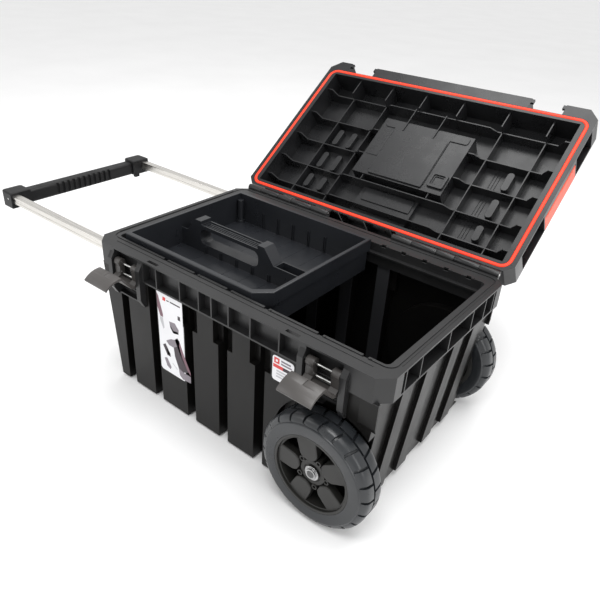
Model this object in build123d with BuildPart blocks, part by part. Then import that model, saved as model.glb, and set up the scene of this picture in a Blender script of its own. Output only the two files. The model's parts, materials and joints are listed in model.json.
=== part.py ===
"""Rolling tool box: moulded tub on two wheels, lift-up lid, pull-out handle and lift-out tray.

Frame: origin at the centre of the underside on the floor, X along the box (handle at -X,
wheels at +X), Y across it (latches at -Y, lid hinge at +Y), Z up. Millimetres.
The pieces stand as they are used: lid open on its stop, handle pulled out, latches open.
"""
from build123d import *
from math import cos, radians, sin
import os

os.makedirs("parts", exist_ok=True)

# ---------------------------------------------------------------- overall sizes
box_length = 600.0  # rim, along X
box_width = 374.0  # rim, along Y
rim_height = 282.0  # top of the rim above the floor
wall = 3.0

# ---------------------------------------------------------------- tub
rim_band = 41.0  # height of the rim's edge
rim_side = 35.0  # rim width along the long sides
rim_end = 22.0  # rim width along the short ends
rim_chamfer = 20.0
skin = 2.5  # inner walls of the rim
base_inset = 34.0  # each short end leans in by this at the bottom
end_wall_inset = 12.0  # the end wall's top, inside the rim's edge
panel_inset = 4.0  # the long wall's face, inside the rim's edge
runner_height = 4.0
runner_width = 24.0
runner_pitch = 110.0
groove_width = 20.0
groove_depth = 23.0
groove_pitch = 78.0
groove_offset = 7.0  # the middle groove stands this far off centre
pocket_width = 42.0  # the wider top of each groove
pocket_depth = 12.0
pocket_height = 46.0
corner_groove_inset = 32.0  # from the end of the base
second_groove_inset = 108.0
divider = 2.5
divider_x = (-140.0, -84.0, -41.0, -13.0, 23.0, 67.0, 122.0)
divider_y = (-140.0, -98.0, -14.0, 62.0, 108.0, 140.0)
end_rib_y = (-112.0, -43.0, 43.0, 112.0)
end_rib_width = 32.0
end_rib_depth = 7.0
rim_slot_length = 24.0
rim_slot_width = 6.0
rim_slot_gap = 8.0  # slot beside each latch bay
notch_length = 9.0
notch_depth = 5.0
notch_front_x = (-151.0, -80.0, -7.0, 70.0, 169.0, 244.0)
notch_rear_x = (-90.0, -2.0, 81.0, 122.0, 164.0, 205.0, 247.0)
pilaster_length = 35.0
pilaster_height = 49.0
pilaster_proud = 3.0
bay_ribs = 8
bay_rib_pitch = 5.2
tray_ledge = 8.0
ledge_drop = 16.0  # tray ledge below the rim's top
ledge_thickness = 3.0

# ---------------------------------------------------------------- wheels
wheel_diameter = 190.0  # held back where the latch bays come lower
wheel_width = 49.0
wheel_outer_y = 222.0
wheel_end_gap = 83.0  # axle to the end of the rim
wheel_well_gap = 6.0
wheel_bay_gap = 5.0  # top of the wheels below the latch bays
tread_depth = 4.0
tyre_thickness = 29.0
hub_face = 215.0  # hub's outer face, from the middle of the box
axle_diameter = 12.0
axle_length_out = 221.0  # end of the axle, from the middle of the box
axle_head = 22.0
axle_head_height = 4.0
boss_diameter = 30.0
boss_inside = 12.0
spoke_count = 5
hub_rim_wall = 6.0
hub_core = 21.0
hub_web = 3.0
spoke_depth = 10.0
tread_blocks = 22
tread_groove = 5.0
running_gap = 0.05

# ---------------------------------------------------------------- handle
bar_width = 15.0
bar_height = 17.0
bar_wall = 1.6
bar_groove = 5.0  # shallow groove along both sides of each bar
bar_groove_depth = 0.8
grip_grooves = 11
grip_groove_pitch = 13.0
grip_groove = 6.0
bar_drop = 14.0  # bar's top below the rim's top
bar_gap = 1.0
handle_travel = 300.0
grip_depth = 32.0
grip_height = 28.0
end_block_length = 44.0
end_block_height = 34.0
guide_length = 15.0
slider_length = 46.0

# ---------------------------------------------------------------- lid
lid_open_angle = 36.45  # lid above the horizontal when it rests on its stop
lid_gap = 1.5  # lid's underside above the rim, closed
hinge_reach = 7.0  # hinge axis behind the rim's edge
lid_depth = 50.0
lid_flange = 4.0
lid_front_recess = 24.0  # the latch bays, back from the rim's front edge
lid_bay_clearance = 4.0  # the lid's latch bays are this much wider than the tub's, on the outer side
lid_rear_recess = 4.0  # shallow recess in the middle of the rear edge
lid_rear_recess_half = 72.0
lid_edge_gap = 1.0
seal_width = 7.0
seal_height = 5.0
seal_proud = 1.0
seal_inset_x = 11.4
seal_inset_front = 29.0
seal_inset_rear = 10.0
knuckle_radius = 6.5
hinge_pin_diameter = 5.0
knuckle_insets = (226.0, 184.0, 134.0, 99.0, 52.0, 16.0)  # ends of the knuckles, from the rim's end
rib_wall = 2.2
lid_rib_u = (-208.0, -123.0, 142.0, 229.0)
lid_rib_v = (53.0, 108.0, 172.0, 235.0, 305.0)
lid_front_rib_u = (-208.0, -123.0, -40.0, 45.0, 142.0, 229.0)
lid_corner = 14.0
lid_rear_pockets = 8
lid_tab_pockets = 6
dish_u = (-97.0, 105.0)  # dished middle of the lid's top
dish_v = (122.0, 268.0)
dish_floor = 14.0  # below the lid's underside
dish_plate = 2.0
low_dish_u = (-65.0, 62.0)
low_dish_v = (30.0, 115.0)
low_dish_floor = 38.0
rib_low = 9.0  # how far the long ribs stand below the lid's underside: at the ends,
rib_deep = 25.0  # at the sides of the middle
rib_middle = 17.0  # and across the middle
front_rib_low = 7.0

# ---------------------------------------------------------------- side clips on the lid
clip_length = 125.0
clip_centre_v = 202.0
clip_height = 34.0
clip_plate = 3.5
clip_pin_diameter = 4.0
clip_pin_inset = 4.3  # pin behind the lid's end face
clip_pin_w = -17.0  # pin above the lid's underside, closed

# ---------------------------------------------------------------- latches
latch_insets = {"left": 84.0, "right": 99.0}  # latch centre from the end of the rim
lever_width = 57.0
ear_width = 10.0
ear_gap = 2.5
pivot_inset = 3.0  # pivot inside the rim's edge
pivot_drop = 25.0  # pivot below the rim's top
barrel_radius = 7.5
arm_width = 13.5
latch_pin_diameter = 4.0
catch_bar_diameter = 5.0
catch_nub = 5.5
nub_height = 5.0

# ---------------------------------------------------------------- tray
tray_length = 323.0
tray_width = 294.0
tray_end_gap = 12.0  # tray to the handle end's inner wall
tray_rise = 8.0  # lip above the rim
tray_depth = 62.0
tray_step = 6.0  # the lower part is narrower by this
tray_wall = 2.5
tray_chamfer = 24.0
grip_hole_length = 144.0
grip_hole_height = 30.0
spine_y = -10.0
spine_width = 26.0
spine_height = 34.0
tray_grip_centre = -137.0
spine_reach = 24.0  # cross walls beyond the grip
slot_pitch = 39.0
slot_rib = 1.2
slot_height = 35.0
slot_count = 5

# ---------------------------------------------------------------- places worked out from the sizes
rim_x = box_length / 2
rim_y = box_width / 2
bore_x = rim_x - rim_end
bore_y = rim_y - rim_side
base_x = rim_x - base_inset
top_x = rim_x - end_wall_inset
panel_y = rim_y - panel_inset
floor_z = runner_height
shelf_z = rim_height - rim_band
bar_y = bore_y + skin + bar_gap + bar_width / 2
bar_z = rim_height - bar_drop - bar_height / 2
channel_y = bar_y + bar_width / 2 + bar_gap  # outer side of the handle bar's channel
pocket_y = channel_y + skin  # back of the rim's outer pockets
bay_low = shelf_z - pocket_height  # lower edge of the latch bays and of the wide groove tops
wheel_radius = min(wheel_diameter, bay_low - wheel_bay_gap) / 2
tyre_bore = 2 * (wheel_radius - tyre_thickness)
wheel_x = rim_x - wheel_end_gap
wheel_z = wheel_radius
wheel_inner_y = wheel_outer_y - wheel_width
well_radius = wheel_radius + wheel_well_gap
well_y = wheel_inner_y - wheel_well_gap
ear_x = lever_width / 2 + ear_gap  # inner face of each ear, from the latch's centre
pivot_y = rim_y - pivot_inset
pivot_z = rim_height - pivot_drop
hinge_y = rim_y + hinge_reach
hinge_z = rim_height + lid_gap
sides = {"front": -1, "rear": 1}
ends = {"left": -1, "right": 1}
latch_x = {name: end * (rim_x - latch_insets[name]) for name, end in ends.items()}
knuckle_edges = [rim_x - inset for inset in knuckle_insets]


def cuboid(x, y, z):
    """A solid box from its low and high value along each axis."""
    corner = (min(x), min(y), min(z))
    return Solid.make_box(abs(x[1] - x[0]), abs(y[1] - y[0]), abs(z[1] - z[0]), Plane(corner))


def round_bar(x, y, z, radius, length, axis):
    """A solid cylinder centred on a point, along the X or Y axis."""
    if axis == "X":
        return Solid.make_cylinder(radius, length, Plane((x - length / 2, y, z), z_dir=(1, 0, 0)))
    return Solid.make_cylinder(radius, length, Plane((x, y - length / 2, z), z_dir=(0, 1, 0)))


def block(x, y, z, mode=Mode.ADD):
    """Add or cut one box in the part being built."""
    add(cuboid(x, y, z), mode=mode)


def rod(x, y, z, radius, length, axis, mode=Mode.ADD):
    """Add or cut one cylinder in the part being built."""
    add(round_bar(x, y, z, radius, length, axis), mode=mode)


def wheel_ring(y, outer, inner):
    """Add a ring about the wheel's axis between two values of Y, with a clear bore."""
    middle, length = (y[0] + y[1]) / 2, abs(y[1] - y[0])
    rod(wheel_x, middle, wheel_z, outer, length, "Y")
    rod(wheel_x, middle, wheel_z, inner, length, "Y", mode=Mode.SUBTRACT)


def save(builder, name):
    """Label one finished piece and write it."""
    builder.part.label = name
    export_step(builder.part, f"parts/{name}.step")


# ================================================================= tub
bay_half = ear_x + ear_width  # half the width of a latch bay with its ears
wall_grooves = [groove_offset + groove_pitch * k for k in (-1, 0, 1)]
wall_grooves += [-base_x + second_groove_inset, -base_x + corner_groove_inset]
rim_start, rim_stop = latch_x["left"] + bay_half, latch_x["right"] - bay_half  # rim between the two bays
wide_grooves = [x for x in wall_grooves if rim_start + pocket_width / 2 < x < rim_stop - pocket_width / 2]
rim_dividers = [x for x in divider_x if rim_start + 15 < x < rim_stop - 15]
long_edges = [rim_start + 2] + rim_dividers + [rim_stop - 2]
short_edge = rim_y - rim_chamfer - 18
short_edges = [-short_edge] + [y for y in divider_y if abs(y) < short_edge - 5] + [short_edge]
end_lean = (top_x - base_x) / (shelf_z - floor_z)
ledge_z = rim_height - ledge_drop


def tub_backing():
    """Walls behind the grooves, wide groove tops, latch bays, wheel arches and axle bosses."""
    solids = []
    for side in (-1, 1):
        for x in wall_grooves:
            half = groove_width / 2 + wall
            depth = (side * (panel_y - groove_depth - wall), side * panel_y)
            solids.append(cuboid((x - half, x + half), depth, (floor_z, shelf_z + wall)))
        for x in wide_grooves:
            half = pocket_width / 2 + wall
            depth = (side * (panel_y - pocket_depth - wall), side * panel_y)
            solids.append(cuboid((x - half, x + half), depth, (bay_low - wall, shelf_z + wall)))
        solids.append(round_bar(wheel_x, side * (well_y + panel_y - wall) / 2, wheel_z, well_radius + wall,
                                panel_y - well_y + wall, "Y"))
        solids.append(round_bar(wheel_x, side * (well_y - boss_inside / 2), wheel_z, boss_diameter / 2,
                                boss_inside, "Y"))
    for centre in latch_x.values():
        span = (centre - bay_half, centre + bay_half)
        solids.append(cuboid(span, (-panel_y, -(pocket_y - wall)), (bay_low - wall, shelf_z + wall)))
    return solids


def tub_hollows():
    """Grooves, wheel wells, rim pockets and latch bays, all cut from outside."""
    solids = []
    for side in (-1, 1):
        for x in wall_grooves:
            half = groove_width / 2
            depth = (side * (panel_y - groove_depth), side * rim_y)
            under_bay = side < 0 and any(abs(x - centre) < bay_half + half for centre in latch_x.values())
            solids.append(cuboid((x - half, x + half), depth, (0, bay_low - wall if under_bay else shelf_z)))
        for x in wide_grooves:
            half = pocket_width / 2
            depth = (side * (panel_y - pocket_depth), side * rim_y)
            solids.append(cuboid((x - half, x + half), depth, (bay_low, shelf_z)))
        solids.append(round_bar(wheel_x, side * (well_y + 60), wheel_z, well_radius, 120, "Y"))
        for left, right in zip(long_edges, long_edges[1:]):
            solids.append(cuboid((left + divider / 2, right - divider / 2), (side * pocket_y, side * (rim_y + 1)),
                                 (shelf_z + wall, rim_height - wall)))
    for end in (-1, 1):
        for low, high in zip(short_edges, short_edges[1:]):
            solids.append(cuboid((end * (bore_x + wall), end * (rim_x + 1)),
                                 (low + divider / 2, high - divider / 2),
                                 (shelf_z + wall, rim_height - wall)))
    for centre in latch_x.values():
        solids.append(cuboid((centre - ear_x, centre + ear_x), (-rim_y - 1, -pocket_y),
                             (bay_low, rim_height - wall)))
    return solids


def tub_fittings():
    """Outer axle bosses, tray ledges, bay ribs, hinge knuckles and runners."""
    solids = []
    for side in (-1, 1):
        solids.append(round_bar(wheel_x, side * (well_y + wall / 2), wheel_z, boss_diameter / 2, wall, "Y"))
        solids.append(cuboid((-bore_x - 1, bore_x + 1), (side * (bore_y - tray_ledge), side * (bore_y + 1)),
                             (ledge_z - ledge_thickness, ledge_z)))
    for centre in latch_x.values():
        span = (centre - ear_x - 0.5, centre + ear_x + 0.5)
        for k in range(bay_ribs):
            z = bay_low + 5 + bay_rib_pitch * k
            solids.append(cuboid(span, (-pocket_y - 1.5, -pocket_y + 0.5), (z, z + 2)))
    for end in (-1, 1):
        for k in (0, 2, 4):
            low, high = knuckle_edges[k] + 0.4, knuckle_edges[k + 1] - 0.4
            solids.append(round_bar(end * (low + high) / 2, hinge_y, hinge_z, knuckle_radius, high - low, "X"))
            solids.append(cuboid((end * low, end * high), (rim_y - 1, hinge_y),
                                 (hinge_z - knuckle_radius - 6, hinge_z - 2.5)))
    for y in (-runner_pitch, 0, runner_pitch):
        solids.append(cuboid((-base_x + 20, base_x - 110), (y - runner_width / 2, y + runner_width / 2),
                             (0, floor_z + 0.5)))
    return solids


def tub_bores():
    """Handle channels, axle bores, latch and hinge pin bores, and small slots in the rim's top."""
    solids = []
    hinge_length = knuckle_edges[5] - knuckle_edges[0]
    for side in (-1, 1):
        solids.append(cuboid((-rim_x - 1, rim_x - rim_chamfer - 10),
                             (side * (bore_y + skin), side * channel_y), (shelf_z + wall, rim_height - wall)))
        solids.append(round_bar(wheel_x, side * (well_y - 5), wheel_z, axle_diameter / 2, 60, "Y"))
        solids.append(round_bar(wheel_x, side * (well_y + wall + 60), wheel_z, well_radius, 120, "Y"))
    for name, end in ends.items():
        solids.append(round_bar(latch_x[name], -pivot_y, pivot_z, latch_pin_diameter / 2 + 0.01,
                                2 * bay_half, "X"))
        solids.append(round_bar(end * (knuckle_edges[0] + hinge_length / 2), hinge_y, hinge_z,
                                hinge_pin_diameter / 2 + 0.01, hinge_length + 2, "X"))
        slot_x = latch_x[name] - end * (bay_half + rim_slot_gap + rim_slot_length / 2)
        solids.append(cuboid((slot_x - rim_slot_length / 2, slot_x + rim_slot_length / 2),
                             (-rim_y + 5, -rim_y + 5 + rim_slot_width), (rim_height - wall - 1, rim_height + 1)))
    for side, places in ((-1, notch_front_x), (1, notch_rear_x)):
        for x in places:
            solids.append(cuboid((x - notch_length / 2, x + notch_length / 2),
                                 (side * (bore_y - 1), side * (bore_y + notch_depth)),
                                 (rim_height - wall - 1, rim_height + 1)))
    return solids


def rim_region():
    """Everything that belongs to the rim: all above its lower edge, and the latch bays with their ears."""
    solids = [cuboid((-box_length, box_length), (-box_width, box_width), (shelf_z, rim_height + 50))]
    for centre in latch_x.values():
        span = (centre - bay_half, centre + bay_half)
        solids.append(cuboid(span, (-box_width, -(pocket_y - wall)), (bay_low - wall, rim_height)))
    return solids


with BuildPart() as moulding:
    # body with leaning ends, and the rim around its top
    with BuildSketch(Plane.XZ):
        Polygon((-base_x, floor_z), (base_x, floor_z), (top_x, shelf_z), (-top_x, shelf_z), align=None)
    extrude(amount=panel_y, both=True)
    with BuildSketch(Plane.XY.offset(shelf_z)):
        Rectangle(box_length, box_width)
        chamfer(vertices(), rim_chamfer)
    extrude(amount=rim_band)
    # inside: wide below the rim, narrower through it
    with BuildSketch(Plane.XZ):
        Polygon(
            (-base_x + wall, floor_z + wall),
            (base_x - wall, floor_z + wall),
            (top_x - wall, shelf_z),
            (-top_x + wall, shelf_z),
            align=None,
        )
    extrude(amount=panel_y - wall, both=True, mode=Mode.SUBTRACT)
    with BuildSketch(Plane.XY.offset(shelf_z - 1)):
        RectangleRounded(2 * bore_x, 2 * bore_y, 8)
    extrude(amount=rim_band + 2, mode=Mode.SUBTRACT)
    add(tub_backing())
    # trim the arches to the leaning end and the floor
    with BuildSketch(Plane.XZ):
        Polygon((base_x, floor_z), (top_x, shelf_z), (rim_x + 60, shelf_z), (rim_x + 60, -20), (base_x, -20),
                align=None)
    extrude(amount=panel_y + 5, both=True, mode=Mode.SUBTRACT)
    block((-rim_x, rim_x), (-rim_y, rim_y), (-20, floor_z), mode=Mode.SUBTRACT)
    add(tub_hollows(), mode=Mode.SUBTRACT)
    # chamfered pilasters under the rim at the wheel end
    for side in (-1, 1):
        with BuildSketch(Plane.YZ.offset(rim_x - pilaster_length - 3)):
            Polygon(
                (side * (panel_y - 1), shelf_z - pilaster_height),
                (side * panel_y, shelf_z - pilaster_height),
                (side * (panel_y + pilaster_proud), shelf_z - pilaster_height + 8),
                (side * (panel_y + pilaster_proud), shelf_z + 1),
                (side * (panel_y - 1), shelf_z + 1),
                align=None,
            )
        extrude(amount=pilaster_length - 7)
    # raised upright ribs on the leaning ends
    for end in (-1, 1):
        for y in end_rib_y:
            if abs(y) + end_rib_width / 2 < panel_y - groove_depth:
                with BuildSketch(Plane.XZ.offset(-y)):
                    Polygon(
                        (end * (base_x - 1), floor_z + 12),
                        (end * (base_x + end_rib_depth + end_lean * 12), floor_z + 12),
                        (end * (top_x + end_rib_depth), shelf_z),
                        (end * (top_x - 1), shelf_z),
                        align=None,
                    )
                extrude(amount=end_rib_width / 2, both=True)
    add(tub_fittings())
    # two ears at each latch bay
    for centre in latch_x.values():
        for ear in (-1, 1):
            with BuildSketch(Plane.YZ.offset(centre + ear * (ear_x + ear_width / 2))):
                Polygon(
                    (-pocket_y + 0.5, bay_low - wall),
                    (-rim_y + 1, bay_low - wall),
                    (-rim_y - 7, bay_low + 12),
                    (-rim_y - 7, pivot_z + 6),
                    (-rim_y, rim_height - 8),
                    (-rim_y, rim_height - 1),
                    (-pocket_y + 0.5, rim_height - 1),
                    align=None,
                )
            extrude(amount=ear_width / 2, both=True)
    add(tub_bores(), mode=Mode.SUBTRACT)
    # seal groove in the rim's top
    with BuildSketch(Plane.XY.offset(rim_height - 1.2)):
        with Locations((0, (seal_inset_front - seal_inset_rear) / 2)):
            RectangleRounded(2 * (rim_x - seal_inset_x) + 3, box_width - seal_inset_front - seal_inset_rear + 3, 18)
            RectangleRounded(2 * (rim_x - seal_inset_x) - 3, box_width - seal_inset_front - seal_inset_rear - 3, 15,
                             mode=Mode.SUBTRACT)
    extrude(amount=2, mode=Mode.SUBTRACT)

with BuildPart() as tub:
    add(moulding.part)
    add(rim_region(), mode=Mode.SUBTRACT)
save(tub, "tub")

with BuildPart() as rim:
    add(moulding.part)
    add(tub.part, mode=Mode.SUBTRACT)
save(rim, "tub_rim")

# ================================================================= axles, washers and push nuts
for name, side in sides.items():
    head_end = well_y - boss_inside
    with BuildPart() as axle:
        rod(wheel_x, side * (head_end + axle_length_out) / 2, wheel_z, axle_diameter / 2,
            axle_length_out - head_end, "Y")
        rod(wheel_x, side * (head_end - axle_head_height / 2), wheel_z, axle_head / 2, axle_head_height, "Y")
        chamfer(axle.edges().filter_by(GeomType.CIRCLE).group_by(Axis.Y)[-1 if side > 0 else 0], 1)
    save(axle, f"axle_{name}")

    washer_inner = well_y + wall
    with BuildPart() as washer:
        wheel_ring((side * washer_inner, side * (wheel_inner_y - 0.4)), boss_diameter / 2 - 2,
                   axle_diameter / 2 + running_gap)
    save(washer, f"thrust_washer_{name}")

    with BuildPart() as nut:
        nut_y = hub_face + 0.4
        wheel_ring((side * nut_y, side * (nut_y + 1.4)), axle_diameter / 2 + 6, axle_diameter / 2)
        wheel_ring((side * (nut_y + 1.4), side * (nut_y + 4.4)), axle_diameter / 2 + 2.4, axle_diameter / 2)
    save(nut, f"push_nut_{name}")

# ================================================================= wheels
for name, side in sides.items():
    with BuildPart() as tyre:
        with BuildSketch(Plane.YZ.offset(wheel_x)):
            tyre_x = side * (wheel_outer_y + wheel_inner_y) / 2
            with Locations((tyre_x, wheel_z + (wheel_radius + tyre_bore / 2) / 2)):
                Rectangle(wheel_width, wheel_radius - tyre_bore / 2)
            chamfer(vertices().group_by(Axis.Y)[-1], 6)
        revolve(axis=Axis((wheel_x, 0, wheel_z), (0, 1, 0)))
        with Locations(Location((wheel_x, 0, wheel_z), (90, 0, 0))):
            for row in (-1, 1):
                with PolarLocations(wheel_radius, tread_blocks, start_angle=(0 if row > 0 else 180 / tread_blocks)):
                    with Locations((0, 0, -tyre_x + row * wheel_width / 4)):
                        Box(2 * tread_depth, tread_groove, wheel_width / 2 - 3, mode=Mode.SUBTRACT)
    save(tyre, f"tyre_{name}")

    hub_inside = tyre_bore / 2 - hub_rim_wall
    with BuildPart() as hub:
        wheel_ring((side * wheel_inner_y, side * wheel_outer_y), tyre_bore / 2, hub_inside)
        web_y = wheel_inner_y + 2 * hub_web
        rod(wheel_x, side * (web_y + hub_web / 2), wheel_z, hub_inside + 0.5, hub_web, "Y")
        rod(wheel_x, side * (hub_face + wheel_inner_y) / 2, wheel_z, hub_core, hub_face - wheel_inner_y, "Y")
        # broad flat spokes, tapering towards the middle
        with BuildSketch(Plane.XZ.offset(-side * (hub_face - spoke_depth))):
            with Locations((wheel_x, wheel_z)):
                with PolarLocations(0, spoke_count, start_angle=90):
                    Polygon(
                        (hub_core - 6, -11),
                        (hub_inside + 1, -15),
                        (hub_inside + 1, 15),
                        (hub_core - 6, 11),
                        align=None,
                    )
        extrude(amount=-side * spoke_depth)
        rod(wheel_x, side * (hub_face - 20), wheel_z, axle_diameter / 2 + running_gap, 100, "Y",
            mode=Mode.SUBTRACT)
    save(hub, f"wheel_hub_{name}")

# ================================================================= pull-out handle
grip_in = -rim_x - 2 - handle_travel  # grip's face towards the box
grip_out = grip_in - grip_depth
grip_top = bar_z + bar_height / 2 + 6
bar_start = grip_in - 20
bar_end = -rim_x + guide_length + 20
for name, side in sides.items():
    with BuildPart() as bar:
        with BuildSketch(Plane.YZ.offset(bar_start)):
            with Locations((side * bar_y, bar_z)):
                RectangleRounded(bar_width, bar_height, 1.5)
                Rectangle(bar_width - 2 * (bar_wall + bar_groove_depth), bar_height - 2 * bar_wall,
                          mode=Mode.SUBTRACT)
                with Locations((-bar_width / 2, 0), (bar_width / 2, 0)):
                    Rectangle(2 * bar_groove_depth, bar_groove, mode=Mode.SUBTRACT)
        extrude(amount=bar_end - bar_start)
    save(bar, f"handle_bar_{name}")

    with BuildPart() as guide:
        with BuildSketch(Plane.YZ.offset(-rim_x + 0.5)):
            with Locations((side * bar_y, bar_z)):
                Rectangle(bar_width + 2 * bar_gap - 0.2, bar_height + 10)
                Rectangle(bar_width + 0.4, bar_height + 0.4, mode=Mode.SUBTRACT)
        extrude(amount=guide_length)
    save(guide, f"bar_guide_{name}")

    slider_start = -rim_x + guide_length + 1
    with BuildPart() as slider:
        with BuildSketch(Plane.YZ.offset(slider_start)):
            with Locations((side * bar_y, bar_z)):
                Rectangle(bar_width + 2 * bar_gap - 0.5, bar_height + 9)
        extrude(amount=slider_length)
        with BuildSketch(Plane.YZ.offset(slider_start - 1)):
            with Locations((side * bar_y, bar_z)):
                Rectangle(bar_width + 0.1, bar_height + 0.1)
        extrude(amount=bar_end - slider_start + 1.1, mode=Mode.SUBTRACT)
    save(slider, f"bar_slider_{name}")

    with BuildPart() as end_block:
        block_out = side * (bar_y + bar_width / 2 + 4)
        block_in = block_out - side * end_block_length
        block((grip_out - 2, grip_in + 1.5), (block_in, block_out), (grip_top - end_block_height, grip_top))
        fillet(end_block.edges().filter_by(Axis.Z).group_by(Axis.X)[0], 7)
        fillet(end_block.edges().filter_by(Axis.Y), 3)
        # pocket for the bar's end and the lower stop that meets the box
        block((bar_start - 0.1, grip_in + 10),
              (side * (bar_y - bar_width / 2 - 0.05), side * (bar_y + bar_width / 2 + 0.05)),
              (bar_z - bar_height / 2 - 0.05, bar_z + bar_height / 2 + 0.05), mode=Mode.SUBTRACT)
        block((grip_in - 6, grip_in + 1.5), (block_in + side * 4, block_in + side * 16),
              (grip_top - end_block_height - 5, grip_top - end_block_height + 1))
        rod(bar_start + 9, block_out, bar_z, 2.2, 14, "Y", mode=Mode.SUBTRACT)
    save(end_block, f"grip_end_{name}")

grip_half = bar_y + bar_width / 2 + 4 - end_block_length
with BuildPart() as grip:
    block((grip_out + 3, grip_in - 3), (-grip_half, grip_half), (grip_top - 5 - grip_height, grip_top - 5))
    fillet(grip.edges().filter_by(Axis.Y), 6)
    with Locations((grip_in - 3, 0, grip_top - 5 - grip_height / 2)):
        with GridLocations(0, grip_groove_pitch, 1, grip_grooves):
            Box(grip_groove, grip_groove, grip_height + 2, mode=Mode.SUBTRACT)
save(grip, "handle_grip")

with BuildPart() as handle_screws:
    for side in (-1, 1):
        rod(bar_start + 9, side * (bar_y + bar_width / 2 + 2.2), bar_z, 2.1, 3.2, "Y")
save(handle_screws, "handle_screws")

# ================================================================= lid
lid_plane = Plane(
    origin=(0, hinge_y, hinge_z),
    x_dir=(1, 0, 0),
    z_dir=(0, -sin(radians(lid_open_angle)), cos(radians(lid_open_angle))),
)
# in this plane X runs along the box, Y from the hinge to the front edge, Z out of the open side
lid_rear_v = hinge_reach + 2
lid_front_v = hinge_y + rim_y - lid_edge_gap
lid_bay_v = lid_front_v - lid_front_recess
cavity_x = bore_x - 2
cavity_rear = hinge_y - bore_y - 16
cavity_front = hinge_y + bore_y - 3
skin_x = cavity_x + wall
front_skin = cavity_front + wall
rear_skin = cavity_rear - wall
lid_half = rim_x
lid_front_corner = 20.0
tab_left, tab_right = latch_x["left"] + ear_x, latch_x["right"] - ear_x  # the lid's front tab
corner_left = latch_x["left"] - ear_x - lid_bay_clearance  # and its two front corners
corner_right = latch_x["right"] + ear_x + lid_bay_clearance
clip_low_v = clip_centre_v - clip_length / 2
clip_high_v = clip_centre_v + clip_length / 2

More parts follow.
